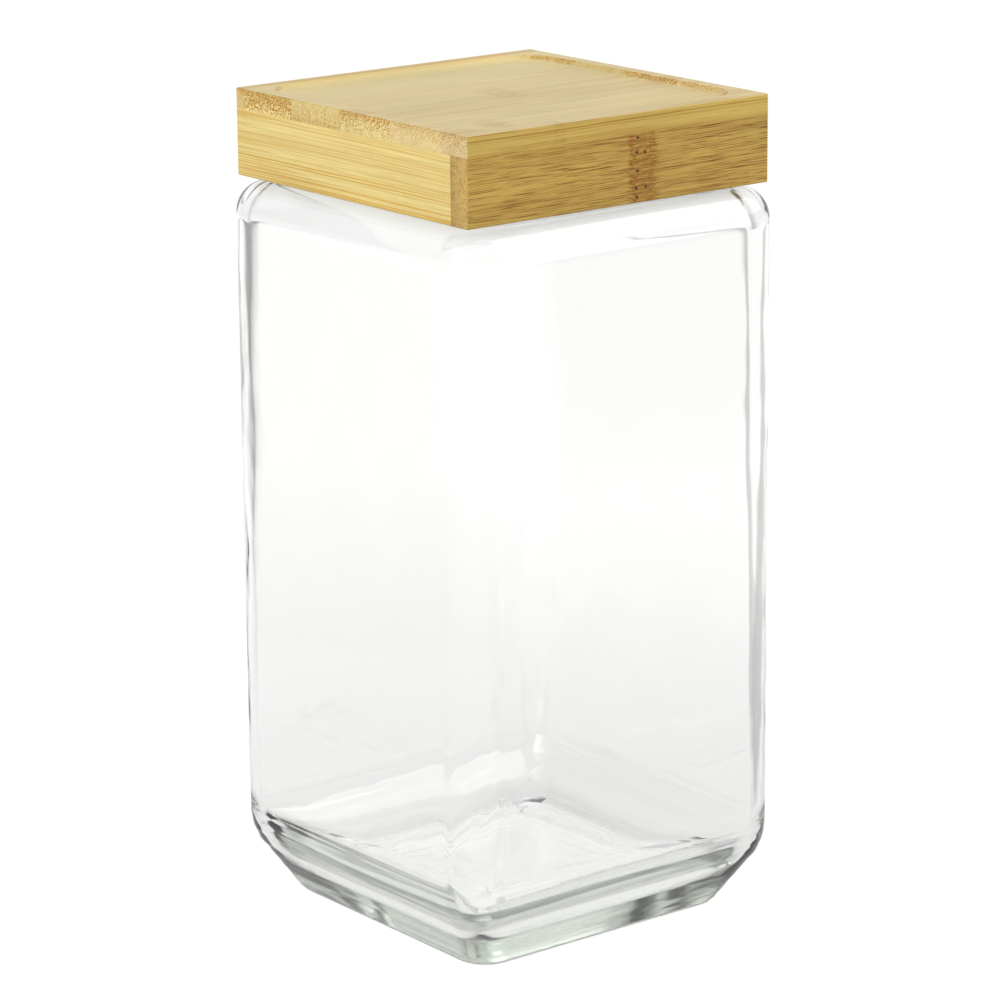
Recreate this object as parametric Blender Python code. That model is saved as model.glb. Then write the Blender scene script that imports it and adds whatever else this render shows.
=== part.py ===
"""Square glass storage jar with a bamboo lid.

Metres, +Z up. The jar stands on z = 0 with its axis on the Z axis. Its front face looks along -Y and its left face
along -X. The lid lifts straight up off the neck.
"""

import math

import bmesh
import bpy
from mathutils import Matrix, Vector

# Clearance between pieces that are glued together or rest on each other
FIT_GAP = 0.0003

# Glass body, outside
BODY_WIDTH = 0.114
BODY_CORNER = 0.0125
BODY_HEIGHT = 0.2112
SHOULDER_ROUND = 0.0087

# Foot and the chamfer above it
CHAMFER_INSET = 0.012
CHAMFER_HEIGHT = 0.0203
CHAMFER_BEND = 0.018
FOOT_CORNER = 0.0087
FOOT_EDGE_ROUND = 0.0016
FOOT_LAND = 0.009
PUSH_UP_DEPTH = 0.0008
PUSH_UP_SLOPE = 0.003

# Glass body, inside
SIDE_WALL = 0.0032
INSIDE_CORNER = 0.0115
BASE_THICKNESS = 0.0108
FLOOR_INSET = 0.0185
FLOOR_CORNER = 0.007
FLOOR_RISE = 0.016
FLOOR_EDGE_ROUND = 0.004
FLOOR_WALL_ROUND = 0.016

# Neck
NECK_CLEARANCE = 0.0012
NECK_HEIGHT = 0.0187
NECK_CORNER = 0.014
NECK_WALL = 0.0035
NECK_FILLET = 0.0012
MOUTH_FILLET = 0.002
RIM_ROUND = 0.0012

# Bamboo lid
LID_OVERHANG_INSET = 0.004
RAIL_HEIGHT = 0.0192
RAIL_THICKNESS = 0.007
BOARD_THICKNESS = 0.0058
FIRST_STRIP = 0.0042
STRIP_WIDTH = 0.02275
NARROWEST_STRIP = 0.002

# Dish in the top of the lid, which takes the foot of a jar stacked on it
STACK_CLEARANCE = 0.0003
DISH_DEPTH = 0.0016
DISH_COVE = 0.004
DISH_CORNER = 0.0125
DISH_STEPS = 4
CUTTER_OVERRUN = 0.004

# Plug and seal
FLANGE_THICKNESS = 0.0012
FLANGE_LAP = 0.002
FIN_COUNT = 3
FIN_DEPTH = 0.0016
FIN_PITCH = 0.0022
FIN_RISE = 0.0014
SEAL_WALL = 0.0016
SEAL_HEIGHT = 0.0082
RIB_DEPTH = 0.0012
RIB_HEIGHT = 0.002
RIB_DROP = 0.0035
PLUG_HEIGHT = 0.0096
PLUG_EDGE_ROUND = 0.0008

# Facets in a quarter turn of a round corner, and in a rounded edge
CORNER_STEPS = 8
EDGE_STEPS = 3

# Sizes that follow from the ones above
BODY_HALF = BODY_WIDTH / 2
FOOT_HALF = BODY_HALF - CHAMFER_INSET
INSIDE_HALF = BODY_HALF - SIDE_WALL
LID_HALF = BODY_HALF - LID_OVERHANG_INSET
LID_INSIDE_HALF = LID_HALF - RAIL_THICKNESS
NECK_HALF = LID_INSIDE_HALF - NECK_CLEARANCE
MOUTH_HALF = NECK_HALF - NECK_WALL
RIM_Z = BODY_HEIGHT + NECK_HEIGHT
FLANGE_Z = RIM_Z + FIT_GAP
FLANGE_TOP = FLANGE_Z + FLANGE_THICKNESS
BOARD_Z = FLANGE_TOP + FIT_GAP
LID_TOP = BOARD_Z + BOARD_THICKNESS
LID_Z = BOARD_Z - RAIL_HEIGHT
DISH_FLOOR_HALF = FOOT_HALF - FOOT_EDGE_ROUND / 2 + STACK_CLEARANCE
DISH_HALF = DISH_FLOOR_HALF + DISH_COVE

COLOURS = {
    "glass": (0.80, 0.86, 0.83, 1.0),
    "bamboo_pale": (0.74, 0.58, 0.33, 1.0),
    "bamboo_warm": (0.62, 0.43, 0.19, 1.0),
    "bamboo_light": (0.79, 0.65, 0.40, 1.0),
    "silicone": (0.84, 0.84, 0.81, 1.0),
}
ROUGHNESS = {
    "glass": 0.05,
    "bamboo_pale": 0.5,
    "bamboo_warm": 0.5,
    "bamboo_light": 0.5,
    "silicone": 0.6,
}


def clear_scene():
    """Removes every object, so that the model starts from nothing."""
    for old in list(bpy.data.objects):
        bpy.data.objects.remove(old, do_unlink=True)


def new_collection(name):
    """Makes a collection in the scene."""
    collection = bpy.data.collections.new(name)
    bpy.context.scene.collection.children.link(collection)
    return collection


def make_material(name):
    """A plain material with the finish's colour and roughness."""
    material = bpy.data.materials.new(name)
    material.use_nodes = True
    shader = material.node_tree.nodes["Principled BSDF"]
    shader.inputs["Base Color"].default_value = COLOURS[name]
    shader.inputs["Roughness"].default_value = ROUGHNESS[name]
    shader.inputs["Metallic"].default_value = 0.0
    if name == "glass":
        shader.inputs["Transmission Weight"].default_value = 1.0
        shader.inputs["IOR"].default_value = 1.5
    return material


def finish_piece(name, bm, material, collection, smooth_angle=None):
    """Turns a bmesh into a named object of the part."""
    bmesh.ops.recalc_face_normals(bm, faces=bm.faces)
    mesh = bpy.data.meshes.new(name)
    bm.to_mesh(mesh)
    bm.free()
    if smooth_angle is not None:
        mesh.shade_smooth()
        mesh.set_sharp_from_angle(angle=math.radians(smooth_angle))
    piece = bpy.data.objects.new(name, mesh)
    if material is not None:
        mesh.materials.append(material)
    collection.objects.link(piece)
    return piece


def rounded_square(half, corner, z):
    """Points round a square with round corners, anticlockwise seen from above."""
    reach = half - corner
    signs = ((1, 1), (-1, 1), (-1, -1), (1, -1))
    points = []
    for quarter, (sign_x, sign_y) in enumerate(signs):
        for step in range(CORNER_STEPS + 1):
            angle = (quarter + step / CORNER_STEPS) * math.pi / 2
            x = sign_x * reach + corner * math.cos(angle)
            y = sign_y * reach + corner * math.sin(angle)
            points.append(Vector((x, y, z)))
    return points


def station(half, z, corner, rounding=0.0):
    """One point of a wall's profile: its place, its section's corner radius and how far the profile is rounded there."""
    return Vector((half, z)), corner, rounding


def round_station(before, here, after, steps):
    """Replaces one point of a profile by the arc that touches both of its sides, whose sections stay parallel."""
    point, corner, rounding = here
    to_before = before[0] - point
    to_after = after[0] - point
    turn = to_before.angle(to_after)
    reach = rounding / math.tan(turn / 2)
    start = point + to_before.normalized() * reach
    end = point + to_after.normalized() * reach
    middle = (to_before.normalized() + to_after.normalized()).normalized()
    centre = point + middle * (rounding / math.sin(turn / 2))
    arc = []
    for step in range(steps + 1):
        place = centre + (start - centre).slerp(end - centre, step / steps).normalized() * rounding
        arc.append((place, corner + place.x - point.x))
    return arc


def rings_of(profile, steps=EDGE_STEPS):
    """Sections of a wall, one for each point of its rounded profile."""
    rings = []
    for index, here in enumerate(profile):
        if here[2] == 0.0:
            places = [(here[0], here[1])]
        else:
            places = round_station(profile[index - 1], here, profile[index + 1], steps)
        for place, corner in places:
            rings.append(rounded_square(place.x, corner, place.y))
    return rings


def loft(rings, closed=False):
    """Skins a row of sections into one closed surface, capped at its ends or led back to its first section."""
    bm = bmesh.new()
    loops = [[bm.verts.new(point) for point in ring] for ring in rings]
    pairs = list(zip(loops, loops[1:]))
    if closed:
        pairs.append((loops[-1], loops[0]))
    for lower, upper in pairs:
        count = len(lower)
        for index in range(count):
            following = (index + 1) % count
            bm.faces.new((lower[index], lower[following], upper[following], upper[index]))
    if not closed:
        bm.faces.new(list(reversed(loops[0])))
        bm.faces.new(loops[-1])
    return bm


def box(low, high):
    """A block between two corners."""
    bm = bmesh.new()
    bmesh.ops.create_cube(bm, size=1.0)
    size = high - low
    bmesh.ops.scale(bm, vec=size, verts=bm.verts)
    bmesh.ops.translate(bm, vec=(low + high) / 2, verts=bm.verts)
    return bm


def neck_corner_at(half):
    """Corner radius of a section that runs parallel to the neck's outer wall."""
    return NECK_CORNER - (NECK_HALF - half)


def make_jar(material, collection):
    """The glass: up the outside from the push-up under the foot, over the rim and down the inside to the floor."""
    land_inner = FOOT_HALF - FOOT_LAND
    push_up_half = land_inner - PUSH_UP_SLOPE
    floor_half = INSIDE_HALF - FLOOR_INSET
    inside_shoulder_z = BODY_HEIGHT - SIDE_WALL
    mouth_corner = neck_corner_at(MOUTH_HALF)
    profile = [
        station(push_up_half, PUSH_UP_DEPTH, FOOT_CORNER),
        station(land_inner, 0.0, FOOT_CORNER),
        station(FOOT_HALF, 0.0, FOOT_CORNER, FOOT_EDGE_ROUND),
        station(BODY_HALF, CHAMFER_HEIGHT, BODY_CORNER, CHAMFER_BEND),
        station(BODY_HALF, BODY_HEIGHT, BODY_CORNER, SHOULDER_ROUND),
        station(NECK_HALF, BODY_HEIGHT, NECK_CORNER, NECK_FILLET),
        station(NECK_HALF, RIM_Z, NECK_CORNER, RIM_ROUND),
        station(MOUTH_HALF, RIM_Z, mouth_corner, RIM_ROUND),
        station(MOUTH_HALF, inside_shoulder_z, mouth_corner, MOUTH_FILLET),
        station(INSIDE_HALF, inside_shoulder_z, INSIDE_CORNER, SHOULDER_ROUND - SIDE_WALL),
        station(INSIDE_HALF, BASE_THICKNESS + FLOOR_RISE, INSIDE_CORNER, FLOOR_WALL_ROUND),
        station(floor_half, BASE_THICKNESS, FLOOR_CORNER, FLOOR_EDGE_ROUND),
        station(floor_half - FLOOR_EDGE_ROUND, BASE_THICKNESS, FLOOR_CORNER),
    ]
    return finish_piece("jar_body", loft(rings_of(profile)), material, collection, 40)


def make_dish_cutter(collection):
    """The shape that the dish in the lid's top is cut with: a coved pan with its open side above the board."""
    rings = []
    for step in range(DISH_STEPS + 1):
        angle = step / DISH_STEPS * math.pi / 2
        half = DISH_FLOOR_HALF + DISH_COVE * math.sin(angle)
        z = LID_TOP - DISH_DEPTH * math.cos(angle)
        rings.append(rounded_square(half, DISH_CORNER - (DISH_HALF - half), z))
    rings.append(rounded_square(DISH_HALF, DISH_CORNER, LID_TOP + CUTTER_OVERRUN))
    cutter = finish_piece("dish_cutter", loft(rings), None, collection)
    cutter.hide_render = True
    cutter.display_type = "WIRE"
    return cutter


def strip_borders():
    """Where the glue lines of the top board lie, from its back edge to its front edge."""
    depth = 2 * LID_HALF
    borders = [0.0, FIRST_STRIP]
    while depth - (borders[-1] + STRIP_WIDTH) > NARROWEST_STRIP:
        borders.append(borders[-1] + STRIP_WIDTH)
    borders.append(depth)
    return [LID_HALF - border for border in borders]


def make_top_board(materials, collection, cutter):
    """The strips of the lid's top board, back to front, with the dish cut into those that reach it."""
    strips = []
    borders = strip_borders()
    for number, (back, front) in enumerate(zip(borders, borders[1:]), start=1):
        glue_line = FIT_GAP if number > 1 else 0.0
        low = Vector((-LID_HALF, front, BOARD_Z))
        high = Vector((LID_HALF, back - glue_line, LID_TOP))
        name = f"top_strip_{number}"
        strip = finish_piece(name, box(low, high), materials[number % len(materials)], collection)
        if low.y < DISH_HALF and high.y > -DISH_HALF:
            cut = strip.modifiers.new("dish", "BOOLEAN")
            cut.operation = "DIFFERENCE"
            cut.solver = "EXACT"
            cut.object = cutter
        strips.append(strip)
    return strips


def make_rails(materials, collection):
    """The frame under the top board. The front rail is full width, and the back rail sits between the side rails."""
    top = BOARD_Z - FIT_GAP
    front_inside = -LID_HALF + RAIL_THICKNESS
    sides_start = front_inside + FIT_GAP
    back_reach = LID_INSIDE_HALF - FIT_GAP
    spans = {
        "front_rail": ((-LID_HALF, -LID_HALF), (LID_HALF, front_inside)),
        "left_rail": ((-LID_HALF, sides_start), (-LID_INSIDE_HALF, LID_HALF)),
        "right_rail": ((LID_INSIDE_HALF, sides_start), (LID_HALF, LID_HALF)),
        "back_rail": ((-back_reach, LID_INSIDE_HALF), (back_reach, LID_HALF)),
    }
    rails = []
    for index, (name, (low, high)) in enumerate(spans.items()):
        block = box(Vector((*low, LID_Z)), Vector((*high, top)))
        rails.append(finish_piece(name, block, materials[index % len(materials)], collection))
    return rails


def plug_half():
    """Half the plug's width: what the seal and its fins leave of the mouth."""
    return MOUTH_HALF - FIT_GAP - FIN_DEPTH - SEAL_WALL - FIT_GAP


def make_plug(material, collection):
    """The board that enters the mouth, with the groove round it that holds the seal."""
    half = plug_half()
    top = BOARD_Z - FIT_GAP
    bottom = BOARD_Z - PLUG_HEIGHT
    groove_top = BOARD_Z - RIB_DROP + FIT_GAP
    groove_bottom = BOARD_Z - RIB_DROP - RIB_HEIGHT - FIT_GAP
    groove_half = half - RIB_DEPTH
    profile = [
        station(half - PLUG_EDGE_ROUND * 2, bottom, neck_corner_at(half)),
        station(half, bottom, neck_corner_at(half), PLUG_EDGE_ROUND),
        station(half, groove_bottom, neck_corner_at(half)),
        station(groove_half, groove_bottom, neck_corner_at(groove_half)),
        station(groove_half, groove_top, neck_corner_at(groove_half)),
        station(half, groove_top, neck_corner_at(half)),
        station(half, top, neck_corner_at(half)),
    ]
    return finish_piece("plug_board", loft(rings_of(profile)), material, collection, 30)


def make_seal(material, collection):
    """The silicone ring round the plug: a flange on the rim, fins that grip the mouth and a rib in the plug's groove."""
    inner = plug_half() + FIT_GAP
    outer = inner + SEAL_WALL
    flange = MOUTH_HALF + FLANGE_LAP
    bottom = FLANGE_TOP - SEAL_HEIGHT
    rib_half = inner - RIB_DEPTH
    rib_top = BOARD_Z - RIB_DROP
    rib_bottom = rib_top - RIB_HEIGHT
    outline = [
        (flange, FLANGE_Z),
        (flange, FLANGE_TOP),
        (inner, FLANGE_TOP),
        (inner, rib_top),
        (rib_half, rib_top),
        (rib_half, rib_bottom),
        (inner, rib_bottom),
        (inner, bottom),
        (outer, bottom),
    ]
    for fin in range(FIN_COUNT):
        root = bottom + fin * FIN_PITCH
        outline.append((outer + FIN_DEPTH, root + FIN_RISE))
        outline.append((outer, root + FIN_RISE))
        if fin + 1 < FIN_COUNT:
            outline.append((outer, root + FIN_PITCH))
    outline.append((outer, FLANGE_Z))
    rings = [rounded_square(half, neck_corner_at(half), z) for half, z in outline]
    return finish_piece("silicone_seal", loft(rings, closed=True), material, collection)


def main():
    """Builds the jar and its lid."""
    clear_scene()
    parts = new_collection("glass_storage_jar")
    cutters = new_collection("cutters")
    materials = {name: make_material(name) for name in COLOURS}
    make_jar(materials["glass"], parts)

    cutter = make_dish_cutter(cutters)
    board = (materials["bamboo_pale"], materials["bamboo_light"])
    frame = (materials["bamboo_warm"], materials["bamboo_light"])
    lid_pieces = make_top_board(board, parts, cutter)
    lid_pieces += make_rails(frame, parts)
    lid_pieces.append(make_plug(materials["bamboo_pale"], parts))
    lid_pieces.append(make_seal(materials["silicone"], parts))

    lid = bpy.data.objects.new("lid", None)
    lid.location = (0.0, 0.0, LID_Z)
    parts.objects.link(lid)
    for piece in lid_pieces:
        piece.parent = lid
        piece.matrix_parent_inverse = Matrix.Translation(-lid.location)


main()
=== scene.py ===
"""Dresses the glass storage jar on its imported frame: pressed glass, glued bamboo lid and silicone seal."""

import logging
from collections.abc import Sequence
from dataclasses import dataclass, field
from enum import Enum

import bpy
import numpy as np
from mathutils import Matrix, Vector


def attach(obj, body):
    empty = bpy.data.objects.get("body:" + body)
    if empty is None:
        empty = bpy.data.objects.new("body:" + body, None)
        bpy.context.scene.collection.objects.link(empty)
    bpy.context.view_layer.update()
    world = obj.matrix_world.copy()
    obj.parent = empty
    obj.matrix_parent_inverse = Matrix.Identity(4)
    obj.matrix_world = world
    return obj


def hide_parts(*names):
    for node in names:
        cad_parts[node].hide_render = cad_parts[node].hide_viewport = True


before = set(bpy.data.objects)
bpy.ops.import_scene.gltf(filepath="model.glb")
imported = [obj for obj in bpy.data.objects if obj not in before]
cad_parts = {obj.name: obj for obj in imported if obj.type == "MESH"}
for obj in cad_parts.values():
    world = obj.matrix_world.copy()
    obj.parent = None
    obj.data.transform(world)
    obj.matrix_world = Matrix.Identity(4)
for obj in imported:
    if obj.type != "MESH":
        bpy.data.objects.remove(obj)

log = logging.getLogger("storage_jar")
MM = 0.001
Colour = tuple[float, float, float]
Socket = bpy.types.NodeSocket
WHITE = (1.0, 1.0, 1.0, 1.0)


class Body(Enum):
    """The rigid bodies that the pieces move with."""

    JAR = "jar"
    LID = "lid"


class Slot(Enum):
    """The record's material slots."""

    GLASS = "glass"
    BOARD = "bamboo_board"
    RAIL = "bamboo_rail"
    SILICONE = "silicone"


class Fibre(Enum):
    """The direction in which a bamboo piece's fibres run, as the turn about Z that lays them along X."""

    ALONG_X = 0.0
    ALONG_Y = -np.pi / 2


class Skin(Enum):
    """The side of a bamboo piece that lay near the stem's skin, as an axis across the fibre and a sign."""

    UP = (2, 1.0)
    DOWN = (2, -1.0)
    LEFT = (1, 1.0)
    RIGHT = (1, -1.0)


def linear(colour: Colour) -> tuple[float, float, float, float]:
    """Turns a screen colour into the linear colour that a shader socket takes.

    Args:
        colour: Red, green and blue from 0 to 255, as a screen shows them.

    Returns:
        The linear red, green, blue and an alpha of 1.
    """
    value = np.array(colour) / 255.0
    low = value / 12.92
    high = ((value + 0.055) / 1.055) ** 2.4
    return (*np.where(value <= 0.04045, low, high).tolist(), 1.0)


# Shapes


@dataclass(frozen=True)
class Station:
    """One corner of the profile that a rounded square is carried along, in metres."""

    half: float
    height: float
    corner: float
    rounding: float = 0.0

    def point(self) -> np.ndarray:
        """Returns the station as half width, height and corner radius."""
        return np.array([self.half, self.height, self.corner])


def rounded_turn(before: Station, here: Station, after: Station, steps: int) -> np.ndarray:
    """Rounds one corner of a profile.

    The arc is centre + rounding * (cos, sin), from the foot of the perpendicular on the way in to the one on
    the way out. Each section's corner radius changes as its half width does, so the sections run parallel.

    Args:
        before: The station that the profile comes from.
        here: The station that is rounded.
        after: The station that the profile goes on to.
        steps: Number of segments in the arc.

    Returns:
        Rows of half width, height and corner radius.
    """
    if here.rounding <= 0.0:
        return here.point()[None, :]
    vertex = here.point()[:2]
    back = before.point()[:2] - vertex
    ahead = after.point()[:2] - vertex
    back /= np.linalg.norm(back)
    ahead /= np.linalg.norm(ahead)
    half_angle = np.arccos(np.clip(back @ ahead, -1.0, 1.0)) / 2
    middle = (back + ahead) / np.linalg.norm(back + ahead)
    centre = vertex + middle * here.rounding / np.sin(half_angle)
    start = vertex + back * here.rounding / np.tan(half_angle) - centre
    end = vertex + ahead * here.rounding / np.tan(half_angle) - centre
    sweep = np.pi - 2 * half_angle
    share = np.linspace(0.0, 1.0, steps + 1)[:, None]
    arc = centre + (np.sin((1 - share) * sweep) * start + np.sin(share * sweep) * end) / np.sin(sweep)
    return np.column_stack([arc, here.corner + arc[:, 0] - here.half])


def smooth_profile(stations: Sequence[Station], steps: int, span: float) -> np.ndarray:
    """Turns the stations into the rows that a loft is made of.

    Every rounded station becomes an arc, and every straight run longer than span is cut into equal parts.

    Args:
        stations: The profile's corners in order.
        steps: Number of segments in each rounding.
        span: Longest straight run between two rows, in metres.

    Returns:
        Rows of half width, height and corner radius.
    """
    last = len(stations) - 1
    turns = [
        rounded_turn(stations[max(i - 1, 0)], here, stations[min(i + 1, last)], steps)
        for i, here in enumerate(stations)
    ]
    rows = [turns[0]]
    for turn in turns[1:]:
        start, end = rows[-1][-1], turn[0]
        cuts = max(int(np.ceil(np.linalg.norm((end - start)[:2]) / span)), 1)
        share = np.linspace(0.0, 1.0, cuts + 1)[1:-1, None]
        rows += [start + (end - start) * share, turn]
    return np.vstack(rows)


@dataclass(frozen=True)
class SquareSection:
    """A rounded square as columns of points: point = reach * (half - corner) + normal * corner."""

    flat_steps: int
    corner_steps: int

    def rays(self) -> tuple[np.ndarray, np.ndarray]:
        """Works out the two directions that place each column.

        Along a flat side reach runs from (1, -1) to (1, 1) and the normal stays (1, 0). In a corner reach
        stays (1, 1) and the normal is (cos a, sin a). Quarter turns of this first side give the others.

        Returns:
            Reach and normal, one row a column.
        """
        side = np.linspace(-1.0, 1.0, self.flat_steps, endpoint=False)
        angle = np.linspace(0.0, np.pi / 2, self.corner_steps, endpoint=False)
        flat = np.zeros_like(side)
        reach = np.column_stack([np.ones(len(side) + len(angle)), np.append(side, np.ones_like(angle))])
        normal = np.column_stack([np.append(flat + 1.0, np.cos(angle)), np.append(flat, np.sin(angle))])
        quarter = np.array([[0.0, -1.0], [1.0, 0.0]])
        turns = np.array([np.linalg.matrix_power(quarter, count) for count in range(4)])
        return (
            np.einsum("qij,nj->qni", turns, reach).reshape(-1, 2),
            np.einsum("qij,nj->qni", turns, normal).reshape(-1, 2),
        )

    def columns(self) -> int:
        """Returns the number of columns."""
        return 4 * (self.flat_steps + self.corner_steps)

    def loft(self, rows: np.ndarray, swell: np.ndarray | None = None) -> np.ndarray:
        """Carries the section along a profile.

        A swell moves each point along the surface's normal: outwards by swell * rise and up by -swell * run,
        where (run, rise) is the profile's direction at that section.

        Args:
            rows: Half width, height and corner radius, one row a section.
            swell: How far each point is moved, in metres, sections by columns, or None.

        Returns:
            Points as an array of sections by columns by 3.
        """
        reach, normal = self.rays()
        half, height, corner = rows.T
        plan = reach * (half - corner)[:, None, None] + normal * corner[:, None, None]
        level = np.repeat(height[:, None], self.columns(), axis=1)
        if swell is not None:
            run, rise = np.gradient(half), np.gradient(height)
            length = np.maximum(np.hypot(run, rise), 1e-12)
            plan = plan + normal * (swell * (rise / length)[:, None])[:, :, None]
            level = level - swell * (run / length)[:, None]
        return np.concatenate([plan, level[:, :, None]], axis=2)


def ring_faces(sections: int, columns: int, closed: bool) -> np.ndarray:
    """Joins neighbouring sections of a loft with quads.

    Args:
        sections: Number of sections.
        columns: Number of points in each.
        closed: True where the last section joins the first.

    Returns:
        Rows of four point numbers.
    """
    index = np.arange(sections * columns).reshape(sections, columns)
    index = np.vstack([index, index[:1]]) if closed else index
    beside = np.roll(index, -1, axis=1)
    return np.stack([index[:-1], beside[:-1], beside[1:], index[1:]], axis=-1).reshape(-1, 4)


def capped_loft(points: np.ndarray) -> tuple[np.ndarray, list[list[int]]]:
    """Closes a loft with a fan at each end.

    Args:
        points: Sections by columns by 3.

    Returns:
        The points with one centre added at each end, and the faces.
    """
    sections, columns = points.shape[:2]
    first, last = points[0].mean(axis=0), points[-1].mean(axis=0)
    flat = np.vstack([points.reshape(-1, 3), first, last])
    ring = np.arange(columns)
    onward = np.roll(ring, -1)
    start = np.column_stack([onward, ring, np.full(columns, sections * columns)])
    top = (sections - 1) * columns
    end = np.column_stack([top + ring, top + onward, np.full(columns, sections * columns + 1)])
    faces = ring_faces(sections, columns, False).tolist() + start.tolist() + end.tolist()
    return flat, faces


def lattice_box(xs: np.ndarray, ys: np.ndarray, zs: np.ndarray) -> tuple[np.ndarray, np.ndarray]:
    """Makes the outside of a box whose faces are grids.

    The points are every (x, y, z) of the three axes that lies on the box's surface, shared between its faces.

    Args:
        xs: Rising places of the grid lines along X.
        ys: The same along Y.
        zs: The same along Z.

    Returns:
        The points and the quads, which point outwards.
    """
    index = np.arange(len(xs) * len(ys) * len(zs)).reshape(len(xs), len(ys), len(zs))
    sheets = (
        index[:, :, -1], index[:, :, 0].T, index[-1], index[0].T, index[:, -1].T, index[:, 0],
    )
    faces = np.vstack(
        [np.stack([s[:-1, :-1], s[1:, :-1], s[1:, 1:], s[:-1, 1:]], axis=-1).reshape(-1, 4) for s in sheets]
    )
    used, compact = np.unique(faces, return_inverse=True)
    points = np.stack(np.meshgrid(xs, ys, zs, indexing="ij"), axis=-1).reshape(-1, 3)[used]
    return points, compact.reshape(-1, 4)


def grid_lines(
    low: float, high: float, marks: Sequence[tuple[float, float, float]], step: float
) -> np.ndarray:
    """Spaces grid lines along one axis.

    Args:
        low: Where the axis starts.
        high: Where it ends.
        marks: Zones as start, end and the spacing wanted in them.
        step: The spacing elsewhere.

    Returns:
        The rising places of the lines.
    """
    edges = sorted({low, high, *(e for start, end, _ in marks for e in (start, end) if low < e < high)})
    lines = [np.array([low])]
    for start, end in zip(edges, edges[1:]):
        middle = (start + end) / 2
        wanted = min([gap for begin, finish, gap in marks if begin <= middle <= finish] + [step])
        lines.append(np.linspace(start, end, max(int(np.ceil((end - start) / wanted)), 1) + 1)[1:])
    return np.concatenate(lines)


def eased(points: np.ndarray, low: np.ndarray, high: np.ndarray, radius: float) -> np.ndarray:
    """Rounds a box's edges by drawing its points onto a rounded box.

    A point's nearest place in the box that is smaller by the radius is found, and the point is drawn in along
    the line from it until it is no farther off than the radius.

    Args:
        points: Points of the sharp box, n by 3.
        low: The box's lowest corner.
        high: Its highest corner.
        radius: Radius of the edges.

    Returns:
        The moved points.
    """
    core = np.clip(points, low + radius, high - radius)
    offset = points - core
    far = np.linalg.norm(offset, axis=1, keepdims=True)
    return core + offset * np.minimum(1.0, radius / np.maximum(far, 1e-12))


def ramp(value: np.ndarray, start: float, length: float) -> np.ndarray:
    """Returns how far values have got past a start, as a share of a length from 0 to 1."""
    return np.clip((value - start) / length, 0.0, 1.0)


@dataclass(frozen=True)
class Wave:
    """A soft swell: its seed, height, fewest and most waves round the jar, and length along the profile."""

    seed: int
    size: float
    turns: tuple[int, int]
    length: float
    sines: int = 9

    def over(self, around: np.ndarray, way: np.ndarray) -> np.ndarray:
        """Works out the swell, which closes on itself round the jar.

        It is a sum of sines, size * sin(n * around + a) * sin(k * way + b), with whole n and seeded phases,
        divided by the square root of their number.

        Args:
            around: Angle of each column, from 0 to a full turn.
            way: Distance along the profile to each section, in metres.

        Returns:
            The swell in metres, sections by columns.
        """
        chance = np.random.default_rng(self.seed)
        total = np.zeros((len(way), len(around)))
        for _ in range(self.sines):
            turns = chance.integers(self.turns[0], self.turns[1] + 1)
            rate = 2 * np.pi / (self.length * chance.uniform(0.6, 1.8))
            first, second = chance.uniform(0.0, 2 * np.pi, 2)
            climb = self.size * np.sin(rate * way + second)
            total += climb[:, None] * np.sin(turns * around + first)[None, :]
        return total / np.sqrt(self.sines)


def add_object(name: str, data: bpy.types.ID) -> bpy.types.Object:
    """Puts data into the scene as an object.

    Args:
        name: The object's name.
        data: Its mesh, lamp or camera.

    Returns:
        The new object.
    """
    thing = bpy.data.objects.new(name, data)
    bpy.context.scene.collection.objects.link(thing)
    return thing


def add_piece(
    name: str,
    points: np.ndarray,
    faces: np.ndarray | list[list[int]],
    material: bpy.types.Material,
    body: Body,
    node: str,
    sharp: float,
) -> bpy.types.Object:
    """Puts a surface into the scene in place of a CAD node.

    Args:
        name: The piece's name.
        points: Its points in metres, n by 3.
        faces: Its faces as point numbers.
        material: Its finish.
        body: The body that it moves with.
        node: The CAD node that it stands for.
        sharp: Angle in degrees above which an edge stays sharp.

    Returns:
        The new object.
    """
    mesh = bpy.data.meshes.new(name)
    rows = faces.tolist() if isinstance(faces, np.ndarray) else faces
    mesh.from_pydata(points.tolist(), [], rows)
    mesh.materials.append(material)
    mesh.shade_smooth()
    mesh.set_sharp_from_angle(angle=np.radians(sharp))
    mesh.update()
    piece = add_object(name, mesh)
    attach(piece, body.value)
    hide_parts(node)
    log.info("%s: %d faces", name, len(mesh.polygons))
    return piece


# Finishes


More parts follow.
